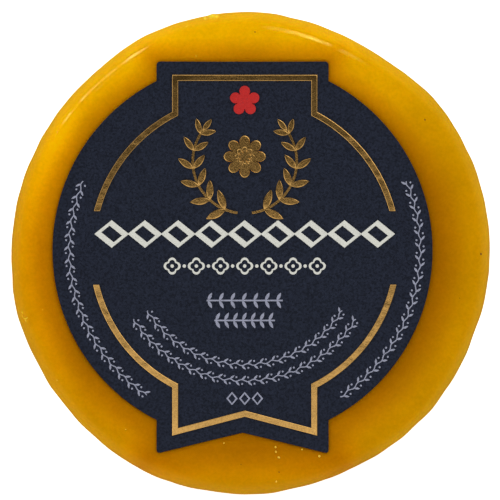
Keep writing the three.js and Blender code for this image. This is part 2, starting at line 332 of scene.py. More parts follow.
# %% Node group: grain
def new_group(name, inputs, outputs):
    """An empty group with its sockets, and its two end nodes."""
    group = bpy.data.node_groups.new(name, "ShaderNodeTree")
    for label, kind, value in inputs:
        group.interface.new_socket(label, in_out="INPUT", socket_type=kind).default_value = value
    for label, kind in outputs:
        group.interface.new_socket(label, in_out="OUTPUT", socket_type=kind)
    return group, group.nodes.new("NodeGroupInput"), group.nodes.new("NodeGroupOutput")


def build_grain():
    """Noise of one grain size in millimetres. Grain runs from 0 to 1, and Pits is 1 in its lows."""
    group, given, result = new_group(
        "grain",
        [("Size mm", "NodeSocketFloat", 0.3), ("Pit share", "NodeSocketFloat", 0.3)],
        [("Grain", "NodeSocketFloat"), ("Pits", "NodeSocketFloat")],
    )
    place = add_node(group, "ShaderNodeTexCoord").outputs["Object"]
    scale = maths(group, "DIVIDE", 1000.0, given.outputs["Size mm"])
    cloud = add_node(group, "ShaderNodeTexNoise", {"Vector": place, "Scale": scale, "Detail": 2.0})
    value = remap(group, cloud.outputs["Fac"], 0.25, 0.75, curve="LINEAR")
    edge = maths(group, "ADD", given.outputs["Pit share"], 0.08)
    pits = remap(group, value, edge, given.outputs["Pit share"])
    group.links.new(value, result.inputs["Grain"])
    group.links.new(pits, result.inputs["Pits"])
    return group


GRAIN = build_grain()


def grain(tree, size_mm, pit_share=0.3):
    made = add_node(tree, "ShaderNodeGroup", {"Size mm": size_mm, "Pit share": pit_share}, node_tree=GRAIN)
    return made.outputs["Grain"], made.outputs["Pits"]


# %% Node group: mottling
def build_mottling():
    """Makes a colour a little darker and lighter in soft patches."""
    group, given, result = new_group(
        "mottling",
        [
            ("Colour", "NodeSocketColor", (0.5, 0.5, 0.5, 1.0)),
            ("Size mm", "NodeSocketFloat", 5.0),
            ("Change", "NodeSocketFloat", 0.1),
        ],
        [("Colour", "NodeSocketColor")],
    )
    place = add_node(group, "ShaderNodeTexCoord").outputs["Object"]
    scale = maths(group, "DIVIDE", 1000.0, given.outputs["Size mm"])
    cloud = add_node(group, "ShaderNodeTexNoise", {"Vector": place, "Scale": scale, "Detail": 3.0})
    centred = remap(group, cloud.outputs["Fac"], 0.32, 0.68, -1.0, 1.0, "LINEAR")
    strength = maths(group, "MULTIPLY_ADD", centred, given.outputs["Change"], 1.0)
    level = add_node(group, "ShaderNodeCombineColor", {0: strength, 1: strength, 2: strength})
    changed = mix_colour(group, 1.0, given.outputs["Colour"], level.outputs[0], "MULTIPLY")
    group.links.new(changed, result.inputs["Colour"])
    return group


MOTTLING = build_mottling()


def mottled(tree, colour, size_mm, change):
    inputs = {"Colour": colour, "Size mm": size_mm, "Change": change}
    return add_node(tree, "ShaderNodeGroup", inputs, node_tree=MOTTLING).outputs["Colour"]


def bumped(tree, height, depth_mm, strength=1.0):
    """A normal from a height of 0 to 1 that is so many millimetres deep."""
    inputs = {"Strength": strength, "Distance": depth_mm * MM, "Height": height}
    return add_node(tree, "ShaderNodeBump", inputs).outputs["Normal"]


# %% [markdown]
# ## Finishing a mesh
# Every piece ends the same way. Points that coincide are merged, the faces are turned outwards,
# the mesh shrinks from millimetres to metres, and faces that meet softly are shaded smooth. What
# counts as softly depends on the piece: wax is smooth, and foil is flat up to its lip. The helper
# also counts open edges, because a sound solid has none.

# %% Turn a bmesh into a piece of the part
SOFT_DEG = 38
FLAT_DEG = 10


def finish_piece(bm, name, material, slot, *nodes, sharp_deg=SOFT_DEG):
    bmesh.ops.remove_doubles(bm, verts=bm.verts, dist=1e-4)
    bmesh.ops.recalc_face_normals(bm, faces=bm.faces)
    if bm.calc_volume(signed=True) < 0:
        bmesh.ops.reverse_faces(bm, faces=bm.faces)
    open_edges = sum(1 for edge in bm.edges if len(edge.link_faces) != 2)
    bmesh.ops.scale(bm, vec=(MM, MM, MM), verts=bm.verts)
    mesh = bpy.data.meshes.new(name)
    bm.to_mesh(mesh)
    bm.free()
    mesh.polygons.foreach_set("use_smooth", [True] * len(mesh.polygons))
    mesh.set_sharp_from_angle(angle=math.radians(sharp_deg))
    mesh.materials.append(material)
    piece = bpy.data.objects.new(name, mesh)
    bpy.context.scene.collection.objects.link(piece)
    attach(piece, "root")
    for node in nodes:
        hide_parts(node)
    triangles = sum(len(face.vertices) - 2 for face in mesh.polygons)
    print(f"{name}: {triangles} triangles, {open_edges} open edges")
    return piece


# %% [markdown]
# ## The wax coat
# The coat is one closed skin. Its outline is drawn once, from the middle of the base round the
# wall to the middle of the top, and spun round the axis. A spin gives clean rings of faces, which
# are close together on the rim, where the light shows every change of slope, and wide apart under
# the label. Then each point is moved by the lobes and along its normal by the relief.

# %% Draw the outline of the truckle
SPIN_STEPS = 500


def truckle_outline():
    foot_inner = FOOT_RADIUS - FOOT_WIDTH
    base = [
        (r, BASE_HOLLOW_DEPTH * (1 - smoothstep(r, BASE_HOLLOW_FLOOR_RADIUS, foot_inner)))
        for r in [0, 5, 11, 17, *spread(BASE_HOLLOW_FLOOR_RADIUS, foot_inner, 12)]
    ]
    lower, upper = [], []
    wall_foot = wall_radius(SHOULDER_DROP)
    for turn in spread(0, math.pi / 2, 20)[:-1]:
        across, down = shoulder_turn(turn)
        lower.append((FOOT_RADIUS + (wall_foot - FOOT_RADIUS) * across, SHOULDER_DROP * down))
    wall = [(wall_radius(z), z) for z in spread(SHOULDER_DROP, HEIGHT - SHOULDER_DROP, 26)]
    wall_top = wall_radius(HEIGHT - SHOULDER_DROP)
    for turn in spread(math.pi / 2, 0, 40)[1:-1]:
        across, down = shoulder_turn(turn)
        upper.append((CREST_RADIUS + (wall_top - CREST_RADIUS) * across, HEIGHT - SHOULDER_DROP * down))
    top = [(r, dish_height(r)) for r in [*spread(CREST_RADIUS, 29, 26), 25, 19, 12, 6, 0]]
    return base + lower + wall + upper + top


def spin_outline(outline, steps):
    bm = bmesh.new()
    points = [bm.verts.new((r, 0, z)) for r, z in outline]
    lines = [bm.edges.new(pair) for pair in zip(points, points[1:])]
    bmesh.ops.spin(bm, geom=points + lines, cent=(0, 0, 0), axis=(0, 0, 1), dvec=(0, 0, 0),
                   angle=2 * math.pi, space=Matrix.Identity(4), steps=steps, use_merge=True)
    bmesh.ops.remove_doubles(bm, verts=bm.verts, dist=1e-4)
    bmesh.ops.recalc_face_normals(bm, faces=bm.faces)
    if bm.calc_volume(signed=True) < 0:
        bmesh.ops.reverse_faces(bm, faces=bm.faces)
    return bm


# Polished bands of the far rim: start, end, middle radius, half width, and how little they are worn
POLISHED = [(56, 88, 37.22, 0.3, 0.25), (114, 150, 37.84, 0.2, 0.05), (120, 141, 37.2, 0.12, -0.05)]
WALL_POLISH = 0.5


def polish(point):
    """How polished the wax is at a point of the true shape: the wall, and narrow bands on the far rim."""
    radius = math.hypot(point.x, point.y)
    deg = math.degrees(math.atan2(point.y, point.x))
    kept = 0.5 + 0.9 * noise.noise(point / 1.6 + Vector((4, 8, 1)))
    if point.z < HEIGHT / 2:
        return WALL_POLISH
    most = WALL_POLISH * smoothstep(HEIGHT - SHOULDER_DROP - point.z, 0.5, 3.0)
    for start, end, middle, half_width, more in POLISHED:
        along = smoothstep(deg, start, start + 8) * (1 - smoothstep(deg, end - 8, end))
        beside = 1 - smoothstep(abs(radius - middle), half_width * 0.5, half_width)
        most = max(most, along * beside * smoothstep(kept + more, 0.2, 0.6))
    return most


def add_unevenness(bm):
    for vert in bm.verts:
        vert[polish_layer] = polish(vert.co)
        vert.co = uneven(vert.co)
    bm.normal_update()
    moves = [(vert, vert.normal * relief(vert.co)) for vert in bm.verts]
    for vert, move in moves:
        vert.co += move


wax_mesh = spin_outline(truckle_outline(), SPIN_STEPS)
polish_layer = wax_mesh.verts.layers.float.new("polish")
add_unevenness(wax_mesh)
# %% [markdown]
# ## Marks in the wax
# Soft wax keeps every touch. The photograph shows a small crescent where a drip was pulled off the
# rim, a nick like an open ring low on the left, and a few short ticks. They are real shapes and not
# paint, so the faces around each mark are cut finer, and their points are pushed in and out across
# a curved line. Stretched wax turns pale, and each point also keeps how pale it is. That pale
# colour is partly painted highlight: it also stands in for the glints on the marks.

# %% Press the marks
DRIP_LENGTH = 6.0


def new_mark(column, row, width, rise, pale, arc=(0.0, 0, 360), drip=False):
    """A mark at a pixel of the photograph. The arc is its radius, its start and its sweep in degrees."""
    radius, start, sweep = arc
    return {"at": (column, row), "width": width, "rise": rise, "pale": pale, "radius": radius, "start": start,
            "sweep": sweep, "drip": drip}


RIM_MARKS = [
    new_mark(209.6, 17.2, 0.4, 0.26, 1.0, drip=True),
    new_mark(213.6, 16.6, 0.45, 0.3, 1.0, drip=True),
    new_mark(217.2, 17.1, 0.24, 0.24, 1.6, drip=True),
    new_mark(206.4, 18.4, 0.2, 0.12, 0.9, drip=True),
    new_mark(204.2, 18.9, 0.22, 0.12, 1.1, drip=True),
    new_mark(25.4, 315.2, 0.12, 0.11, 0.5, arc=(0.68, 245, 170)),
    new_mark(22.3, 311.5, 0.16, 0.12, 0.75),
    new_mark(26.2, 319.2, 0.15, 0.1, 0.75),
    new_mark(12.6, 270.8, 0.14, 0.07, 0.45),
    new_mark(16.2, 273.8, 0.13, 0.05, 0.4),
    new_mark(184.0, 27.0, 0.12, 0.1, 0.6, arc=(0.35, 60, 120)),
    new_mark(188.0, 59.0, 0.12, 0.06, 0.5, arc=(1.2, -20, 40)),
    new_mark(326.0, 30.5, 0.16, -0.12, 0.0, arc=(0.6, 200, 130)),
    new_mark(43.8, 310.2, 0.12, 0.05, 0.4),
]


def mark_height(mark, across, up):
    """How far a mark lifts the wax: a lump, or a ridge along an arc with a shallow ditch inside it."""
    distance = math.hypot(across, up)
    if mark["radius"] == 0:
        return mark["rise"] * math.exp(-((distance / mark["width"]) ** 2))
    past_start = (math.degrees(math.atan2(up, across)) - mark["start"]) % 360
    fade = smoothstep(past_start, 0, 25) * (1 - smoothstep(past_start, mark["sweep"] - 25, mark["sweep"]))
    ridge = math.exp(-(((distance - mark["radius"]) / mark["width"]) ** 2))
    ditch = 0.35 * math.exp(-(((distance - mark["radius"] + 2 * mark["width"]) / mark["width"]) ** 2))
    return mark["rise"] * fade * (ridge - ditch)


def mark_reach(mark):
    return mark["radius"] + 3 * mark["width"]


def mark_place(bm, mark):
    """A mark's middle on the wax as seen from above, its normal, and its directions across and up."""
    x, y = from_pixel(*mark["at"])
    upper_part = (vert for vert in bm.verts if vert.co.z > HEIGHT - SHOULDER_DROP)
    nearest = min(upper_part, key=lambda v: (v.co.x - x) ** 2 + (v.co.y - y) ** 2)
    side = Vector((0, 0, 1)).cross(nearest.normal).normalized()
    return nearest.co.copy(), nearest.normal.copy(), side, nearest.normal.cross(side)


def points_near(bm, mark, centre):
    """The points within a mark's reach. A drip runs down the shoulder, so its height doesn't count."""
    reach = mark_reach(mark)
    if mark["drip"]:
        return [vert for vert in bm.verts if vert.co.z > HEIGHT - DRIP_LENGTH
                and math.hypot(vert.co.x - centre.x, vert.co.y - centre.y) < reach]
    return [vert for vert in bm.verts if (vert.co - centre).length < reach]


def refine_marks(bm, marks, places, passes):
    """Cuts the faces round every mark finer. All marks share each cut, which is much quicker."""
    for _ in range(passes):
        near = {vert for mark, place in zip(marks, places) for vert in points_near(bm, mark, place[0])}
        edges = list({edge for vert in near for edge in vert.link_edges})
        bmesh.ops.subdivide_edges(bm, edges=edges, cuts=1, use_grid_fill=True)


def press_mark(bm, mark, place):
    centre, normal, side, up = place
    if mark["drip"]:
        up = Vector((up.x, up.y, 0)).normalized()
    for vert in points_near(bm, mark, centre):
        offset = vert.co - centre
        height = mark_height(mark, offset.dot(side), offset.dot(up))
        vert.co += normal * height
        # Pale stretched wax, and partly a painted highlight for the glints on the mark
        vert[pale_and_glint_layer] = max(vert[pale_and_glint_layer], min(mark["pale"] * max(height, 0) / abs(mark["rise"]), 1))


wax_mesh.normal_update()
pale_and_glint_layer = wax_mesh.verts.layers.float.new("mark")
mark_places = [mark_place(wax_mesh, mark) for mark in RIM_MARKS]
refine_marks(wax_mesh, RIM_MARKS, mark_places, 3)
for mark, place in zip(RIM_MARKS, mark_places):
    press_mark(wax_mesh, mark, place)
print("wax coat with its", len(RIM_MARKS), "marks:", len(wax_mesh.faces), "faces")

# %% [markdown]
# ## The wax finish
# Cheese wax is a dyed, slightly see-through paraffin. Light goes a few millimetres into it, so it
# has no hard shading. Subsurface scattering does part of the soft look. The rest is painted
# shade and painted light in the colour: a ramp over the distance to the label's edge, worked out in
# the shader from the object's own coordinates as the nearer of a disc and a ribbon, paints the
# valley beside the label darker and more orange. The wall has the colour of the outer rim. A second
# ramp paints light on the far side, and more painted light makes the coat paler beside the label
# on the left and below.
# The wax itself has a dull, yellow gloss. On the far rim it is polished along narrow bands, which
# draw the fine wavering lines of light. Their strength was stored in the mesh with the outline.

# %% Wax material
LABEL_RADIUS = 31.4
RIBBON_HALF_WIDTH = 14.2
RIBBON_TOP_Y = 31.2
RIBBON_FOOT_Y = -33.0
# Painted shade: darker and more orange next to the label (0), paler out on the rim (1)
WAX_COLOURS = [
    (0.0, screen(164, 101, 0)),
    (0.22, screen(178, 112, 0)),
    (0.42, screen(191, 126, 0)),
    (0.57, screen(201, 138, 0)),
    (0.72, screen(210, 148, 0)),
    (0.87, screen(217, 155, 0)),
    (1.0, screen(224, 163, 0)),
]
# Painted light: the far side of the coat is painted paler and yellower, brightest on the rim
WAX_COLOURS_LIT_FAR_SIDE = [
    (0.0, screen(204, 131, 0)),
    (0.1, screen(218, 144, 0)),
    (0.25, screen(237, 166, 0)),
    (0.42, screen(251, 186, 0)),
    (0.6, screen(244, 181, 0)),
    (1.0, screen(228, 170, 0)),
]
WAX_COLOUR_REACH = 9.0
# Directions of painted light: the far side is painted paler, and so are the left and the low side beside the label
LIT_FAR_SIDE = (-0.14, 0.99, 0.0)
LIT_LEFT_SIDE = (-1.0, 0.02, 0.0)
LIT_LOW_SIDE = (-0.14, -0.99, 0.0)


def label_distance(tree):
    """Distance in millimetres from the label's edge, seen from above."""
    place = add_node(tree, "ShaderNodeTexCoord").outputs["Object"]
    in_mm = vector_maths(tree, "MULTIPLY", place, (1000, 1000, 0))
    beside = vector_maths(tree, "SUBTRACT", in_mm, (*LABEL_CENTRE, 0))
    radius = add_node(tree, "ShaderNodeVectorMath", {0: beside}, operation="LENGTH").outputs["Value"]
    from_disc = maths(tree, "SUBTRACT", radius, LABEL_RADIUS)
    ribbon_middle = (RIBBON_TOP_Y + RIBBON_FOOT_Y) / 2
    from_middle = vector_maths(tree, "ABSOLUTE", vector_maths(tree, "SUBTRACT", beside, (0, ribbon_middle, 0)))
    sides = add_node(tree, "ShaderNodeSeparateXYZ", {0: from_middle})
    past_side = maths(tree, "SUBTRACT", sides.outputs[0], RIBBON_HALF_WIDTH)
    past_end = maths(tree, "SUBTRACT", sides.outputs[1], (RIBBON_TOP_Y - RIBBON_FOOT_Y) / 2)
    from_ribbon = maths(tree, "SMOOTH_MAX", past_side, past_end, 2.0)
    return maths(tree, "SMOOTH_MIN", from_disc, from_ribbon, 2.5)


def make_wax():
    material, tree = new_material("amber_wax")
    # Painted shade: how far from the label's edge, which sets how dark and orange the wax is painted
    share = remap(tree, label_distance(tree), 0.0, WAX_COLOUR_REACH, curve="LINEAR")
    place = add_node(tree, "ShaderNodeTexCoord").outputs["Object"]
    height_on_coat = add_node(tree, "ShaderNodeSeparateXYZ", {0: place}).outputs[2]
    share = maths(tree, "MAXIMUM", share, remap(tree, height_on_coat, 0.041, 0.036, 0.0, 0.95))
    # Painted light: towards the far side the paler, lit ramp takes over
    far = remap(tree, toward(tree, place, LIT_FAR_SIDE), 0.002, 0.038)
    colour = mix_colour(tree, far, colour_ramp(tree, share, WAX_COLOURS),
                        colour_ramp(tree, share, WAX_COLOURS_LIT_FAR_SIDE))
    # Painted light: the inner slopes on the left and below are painted paler, fading out towards the rim
    painted_light = maths(tree, "ADD", remap(tree, toward(tree, place, LIT_LEFT_SIDE), 0.026, 0.0345, 0.0, 0.42),
                  remap(tree, toward(tree, place, LIT_LOW_SIDE), 0.012, 0.036, 0.0, 0.26))
    lighter = maths(tree, "MULTIPLY_ADD", painted_light, remap(tree, share, 0.4, 0.75, 1.0, 0.0), 1.0)
    level = add_node(tree, "ShaderNodeCombineColor", {0: lighter, 1: lighter, 2: lighter})
    colour = mix_colour(tree, 1.0, colour, level.outputs[0], "MULTIPLY")
    colour = mottled(tree, colour, 9.0, 0.04)
    colour = mottled(tree, colour, 2.0, 0.025)
    colour = mottled(tree, colour, 0.5, 0.045)
    # Marks turn pale: stretched wax, and partly a painted highlight for their glints
    pale_and_glint = add_node(tree, "ShaderNodeAttribute", attribute_name="mark").outputs["Fac"]
    colour = mix_colour(tree, pale_and_glint, colour, screen(255, 220, 60))
    ripple, _ = grain(tree, 1.8)
    fine, _ = grain(tree, 0.4)
    height = maths(tree, "MULTIPLY_ADD", fine, 0.07, ripple)
    polished = add_node(tree, "ShaderNodeAttribute", attribute_name="polish").outputs["Fac"]
    shader = add_node(tree, "ShaderNodeBsdfPrincipled", {
        "Base Color": colour,
        "Roughness": 0.42,
        "Normal": bumped(tree, height, 0.01),
        "IOR": 1.44,
        "Specular Tint": (1.0, 0.78, 0.03, 1.0),
        "Specular IOR Level": 0.12,
        "Coat Weight": maths(tree, "MULTIPLY", polished, 0.6),
        "Coat Roughness": 0.14,
        "Coat IOR": 1.44,
        "Subsurface Weight": 0.35,
        "Subsurface Radius": (1.0, 0.42, 0.02),
        "Subsurface Scale": 0.0025,
    })
    show(tree, shader)
    return material


WAX = make_wax()
wax_coat = finish_piece(wax_mesh, "wax_coat", WAX, "wax", "waxed_cheese")

# %% [markdown]
# ## Flat pieces that follow the dish
# The label and its print are flat things laid on a dished surface. The easiest way is to model
# each one flat, with its thickness, cut it into narrow strips, and only then let it down onto the
# wax: every point goes up by the height of the wax under it. The cuts are planes, so the outline
# stays exact.

# %% Helpers for flat pieces
PAPER_TOP = 0.4
PRINT_TOP = 0.6
SUNK = 0.03


def add_face(bm, outline, z):
    return bm.faces.new([bm.verts.new((x, y, z)) for x, y in outline])


def raise_faces(bm, faces, top):
    """Pulls a flat patch up to a height and gives back the faces on top."""
    made = bmesh.ops.extrude_face_region(bm, geom=faces)["geom"]
    for vert in [item for item in made if isinstance(item, bmesh.types.BMVert)]:
        vert.co.z = top
    bmesh.ops.recalc_face_normals(bm, faces=bm.faces)
    return [item for item in made if isinstance(item, bmesh.types.BMFace)]


def rim_edges(faces):
    """The edges round a patch of top faces."""
    patch = set(faces)
    return [edge for face in faces for edge in face.edges
            if any(other not in patch for other in edge.link_faces)]


def soften(bm, edges, width, segments=2):
    bmesh.ops.bevel(bm, geom=list(set(edges)), offset=width, offset_type="OFFSET", segments=segments,
                    profile=0.5, affect="EDGES", clamp_overlap=True, material=-1)


def cut_into_strips(bm, spacing, reach=37.0):
    for direction in (Vector((1, 0, 0)), Vector((0, 1, 0))):
        for place in spread(-reach, reach, math.ceil(2 * reach / spacing)):
            bmesh.ops.bisect_plane(bm, geom=bm.verts[:] + bm.edges[:] + bm.faces[:], dist=1e-4,
                                   plane_co=direction * (place + 0.013), plane_no=direction)


def lay_down(bm):
    for vert in bm.verts:
        vert.co.z += top_height(vert.co.x, vert.co.y)


def mirrored(points):
    return [(-x, y) for x, y in reversed(points)]


def arc(radius, start_deg, end_deg, steps):
    return [polar(radius, deg) for deg in spread(start_deg, end_deg, steps)]


# %% [markdown]
# ## The paper label
# The label is a disc with a ribbon behind it that ends in a swallow tail, die cut from one sheet
# of dark, uncoated paper. Its outline is arcs and a few corners. A bevel on the four outer corner
# points gives them the small round of a cutting die, and a very thin bevel along the upper edge
# stands for the soft edge of cut paper.

# %% Model the label
NOTCH_Y = -30.1
TAIL_SLOPE = 0.24
CORNER_ROUND = 0.6


def label_outline():
    meet_deg = math.degrees(math.acos(RIBBON_HALF_WIDTH / LABEL_RADIUS))
    tip_y = NOTCH_Y - TAIL_SLOPE * RIBBON_HALF_WIDTH
    right = [(RIBBON_HALF_WIDTH, RIBBON_TOP_Y), *arc(LABEL_RADIUS, meet_deg, -meet_deg, 63),
             (RIBBON_HALF_WIDTH, tip_y)]
    return [*right, (0, NOTCH_Y), *mirrored(right)]


def make_label_mesh():
    bm = bmesh.new()
    face = add_face(bm, label_outline(), -SUNK)
    on_ribbon = [v for v in face.verts if abs(abs(v.co.x) - RIBBON_HALF_WIDTH) < 1e-3]
    outer_corners = [v for v in on_ribbon if v.co.y > RIBBON_TOP_Y - 0.1 or v.co.y < NOTCH_Y - 1]
    bmesh.ops.bevel(bm, geom=outer_corners, offset=CORNER_ROUND, offset_type="OFFSET", segments=4,
                    profile=0.5, affect="VERTICES", material=-1)
    top = raise_faces(bm, bm.faces[:], PAPER_TOP)
    soften(bm, rim_edges(top), 0.05)
    bmesh.ops.translate(bm, verts=bm.verts, vec=(*LABEL_CENTRE, 0))
    cut_into_strips(bm, 0.9)
    lay_down(bm)
    return bm


# %% Paper material
def make_paper():
    """Dark blue uncoated paper: a fine fibre mottle and hardly any gloss."""
    material, tree = new_material("navy_paper")
    colour = mottled(tree, screen(34, 39, 53), 1.1, 0.1)
    colour = mottled(tree, colour, 0.34, 0.24)
    _, hollows = grain(tree, 0.42, 0.36)
    colour = mix_colour(tree, maths(tree, "MULTIPLY", hollows, 0.55), colour, screen(17, 20, 29))
    fibre, _ = grain(tree, 0.2)
    tooth, _ = grain(tree, 0.5)
    height = maths(tree, "MULTIPLY_ADD", tooth, 0.5, fibre)
    shader = add_node(tree, "ShaderNodeBsdfPrincipled", {
        "Base Color": colour,
        "Roughness": remap(tree, fibre, 0.0, 1.0, 0.72, 0.88),
        "Normal": bumped(tree, height, 0.02),
        "Specular IOR Level": 0.15,
    })
    show(tree, shader)
    return material


PAPER = make_paper()
finish_piece(make_label_mesh(), "paper_label", PAPER, "label_paper", "label")

# %% [markdown]
# ## The stamped foil lines
# A hot stamp presses foil into the paper, so a foil line sinks a little between its two edges, and
# each edge catches a thin line of light. The line starts as two rows of points, its outer and its
# inner edge, which are bridged with faces. An inset with a little depth then sinks the middle.

# %% Model the border lines
PRINT_CENTRE = (LABEL_CENTRE[0] + 0.35, LABEL_CENTRE[1] + 0.13)
BORDER_LINE = 0.95
BORDER_RADIUS = 25.24
BORDER_HALF_WIDTH = 11.5
BORDER_TOP_Y = 28.4
BORDER_APEX_Y = -27.1
BORDER_TAIL_SLOPE = 0.26
UPPER_ENDS_Y = 6.4
LOWER_ENDS_Y = -5.8
FOIL_LIP = 0.07
FOIL_PRESSED = 0.035
FOIL_WAVER = 0.02
BEND_STEPS = 30


def angle_at_y(radius, y):
    return math.degrees(math.asin(y / radius))


def angle_at_x(radius, x):
    return math.degrees(math.acos(x / radius))


def upper_border_edge(out):
    """The upper border's line, moved outwards from its middle, from left to right."""
    radius = BORDER_RADIUS + out
    half_width = BORDER_HALF_WIDTH + out
    bend = arc(radius, angle_at_x(radius, half_width), angle_at_y(radius, UPPER_ENDS_Y), BEND_STEPS)
    side = [(half_width, BORDER_TOP_Y + out), *bend]
    return [*mirrored(side), *side]


def lower_border_edge(out):
    radius = BORDER_RADIUS + out
    half_width = BORDER_HALF_WIDTH + out
    bend = arc(radius, angle_at_y(radius, LOWER_ENDS_Y), -angle_at_x(radius, half_width), BEND_STEPS)
    apex_y = BORDER_APEX_Y - out * math.hypot(1, BORDER_TAIL_SLOPE)
    side = [*bend, (half_width, apex_y - BORDER_TAIL_SLOPE * half_width)]
    return [*side, (0, apex_y), *mirrored(side)]


def bridge_rows(bm, first, second, z):
    """Faces between two open rows of points."""
    edges = []
    for row in (first, second):
        points = [bm.verts.new((x, y, z)) for x, y in row]
        edges += [bm.edges.new(pair) for pair in zip(points, points[1:])]
    return bmesh.ops.bridge_loops(bm, edges=edges)["faces"]


def press_middle(bm, faces, lip, depth):
    """Sinks the middle of a patch and leaves a sloping lip along its edge."""
    bmesh.ops.inset_region(bm, faces=faces, thickness=lip, depth=-depth, use_even_offset=True)


def move_to_print_centre(bm):
    bmesh.ops.translate(bm, verts=bm.verts, vec=(*PRINT_CENTRE, 0))


def make_border_mesh(edge):
    bm = bmesh.new()
    faces = bridge_rows(bm, edge(BORDER_LINE / 2), edge(-BORDER_LINE / 2), PAPER_TOP - SUNK)
    top = raise_faces(bm, faces, PRINT_TOP)
    press_middle(bm, top, FOIL_LIP, FOIL_PRESSED)
    move_to_print_centre(bm)
    cut_into_strips(bm, 0.8)
    for vert in bm.verts:
        if vert.co.z > PAPER_TOP:
            vert.co.z += FOIL_WAVER * noise.noise(vert.co / 0.7)
    lay_down(bm)
    return bm


# %% Foil material
def make_foil():
    """Bronze-gold stamping foil: a metal with fine grain from the paper under it."""
    material, tree = new_material("bronze_gold_foil")
    colour = mottled(tree, (0.89, 0.51, 0.15, 1.0), 0.3, 0.14)
    pressed, pits = grain(tree, 0.26, 0.2)
    colour = mix_colour(tree, maths(tree, "MULTIPLY", pits, 0.3), colour, (0.3, 0.16, 0.05, 1.0))
    shader = add_node(tree, "ShaderNodeBsdfPrincipled", {
        "Base Color": colour,
        "Metallic": 1.0,
        "Roughness": remap(tree, pressed, 0.0, 1.0, 0.14, 0.2),
        "Normal": bumped(tree, pressed, 0.003),
    })
    show(tree, shader)
    return material


FOIL = make_foil()
finish_piece(make_border_mesh(upper_border_edge), "foil_border_upper", FOIL, "gold_foil", "border_upper",
             sharp_deg=FLAT_DEG)
finish_piece(make_border_mesh(lower_border_edge), "foil_border_lower", FOIL, "gold_foil", "border_lower",
             sharp_deg=FLAT_DEG)

# %% [markdown]
# ## The wreath
# Two curved branches with leaves in pairs stand in the middle of the upper half. A leaf is a small
# grid that is bent into a pointed oval and sunk inside its edge, as the stamp left it, so a thin
# lip round each leaf catches the light. The leaves get shorter towards the tip.

# %% Model the wreath
WREATH_Y = 14.6
WREATH_RADIUS = 8.6
WREATH_START_DEG = -82
WREATH_END_DEG = 38
STEM_LINE = 0.42
LEAF_PAIRS = 6
LEAF_LENGTH = 3.5
LEAF_TIP_SHARE = 0.7
LEAF_WIDTH_SHARE = 0.36
LEAF_LEAN_DEG = 48


def add_leaf(bm, stalk, direction_deg, length, width_share=LEAF_WIDTH_SHARE, top=PRINT_TOP,
             sunk=FOIL_PRESSED, cells=(10, 8)):
    """A leaf with two pointed ends, which grows from its stalk in a direction."""
    made = bmesh.ops.create_grid(bm, x_segments=cells[0], y_segments=cells[1], size=0.5)["verts"]
    faces = list({face for vert in made for face in vert.link_faces})
    for vert in made:
        t = vert.co.x + 0.5
        side = 2 * vert.co.y
        bend = 2 * t * (1 - t)
        vert.co.x = length * (0.45 * bend + t * t)
        vert.co.y = length * width_share * bend * side
        vert.co.z = top - sunk * min(4 * (1 - abs(side)), 1) * min(4 * bend, 1)
    under = bmesh.ops.extrude_face_region(bm, geom=faces)["geom"]
    lower = [item for item in under if isinstance(item, bmesh.types.BMVert)]
    for vert in lower:
        vert.co.z = PAPER_TOP - SUNK
    whole = made + lower
    bmesh.ops.rotate(bm, verts=whole, cent=(0, 0, 0), matrix=Matrix.Rotation(math.radians(direction_deg), 3, "Z"))
    bmesh.ops.translate(bm, verts=whole, vec=(*stalk, 0))
    bmesh.ops.remove_doubles(bm, verts=whole, dist=1e-4)


def make_branch_mesh(mirror):
    bm = bmesh.new()
    centre = (0, WREATH_Y)
    stem_degs = spread(WREATH_START_DEG, WREATH_END_DEG, 36)
    rows = [[polar(WREATH_RADIUS + out, deg, centre) for deg in stem_degs] for out in (STEM_LINE / 2, -STEM_LINE / 2)]
    raise_faces(bm, bridge_rows(bm, *rows, PAPER_TOP - SUNK), PRINT_TOP - 0.04)
    step = (WREATH_END_DEG - WREATH_START_DEG) / LEAF_PAIRS
    for i in range(LEAF_PAIRS):
        deg = WREATH_START_DEG + step * (i + 0.7)
        length = LEAF_LENGTH * (1 - (1 - LEAF_TIP_SHARE) * i / LEAF_PAIRS)
        for lean in (-LEAF_LEAN_DEG, LEAF_LEAN_DEG):
            add_leaf(bm, polar(WREATH_RADIUS, deg, centre), deg + 90 + lean, length)
    tip = polar(WREATH_RADIUS, WREATH_END_DEG - 2, centre)
    add_leaf(bm, tip, WREATH_END_DEG + 90, LEAF_LENGTH * LEAF_TIP_SHARE)
    if mirror:
        bmesh.ops.scale(bm, vec=(-1, 1, 1), verts=bm.verts)
        bmesh.ops.reverse_faces(bm, faces=bm.faces)
    move_to_print_centre(bm)
    lay_down(bm)
    return bm


finish_piece(make_branch_mesh(False), "foil_wreath_right", FOIL, "gold_foil", "wreath_right", sharp_deg=FLAT_DEG)
finish_piece(make_branch_mesh(True), "foil_wreath_left", FOIL, "gold_foil", "wreath_left", sharp_deg=FLAT_DEG)

# %% [markdown]
# ## The flowers
# A gold rosette stands inside the wreath and a small red flower above it. Both are one wavy line
# round a middle. A circle gives the line its points, and each ring inside it is the same line,
# extruded, made smaller and set to another height: the lip, the pressed petals, and a button.

# %% Model the flowers
ROSETTE = {"y": 15.4, "petals": 8, "radius": 3.5, "waist": 0.58}
RED_FLOWER = {"y": 24.6, "petals": 5, "radius": 2.5, "waist": 0.5}
FLOWER_RINGS = [(0.98, 0.0), (0.955, -0.05), (0.47, -0.05), (0.43, -0.02), (0.35, -0.02), (0.31, -0.05), (0.1, -0.05)]
POINTS_PER_PETAL = 16


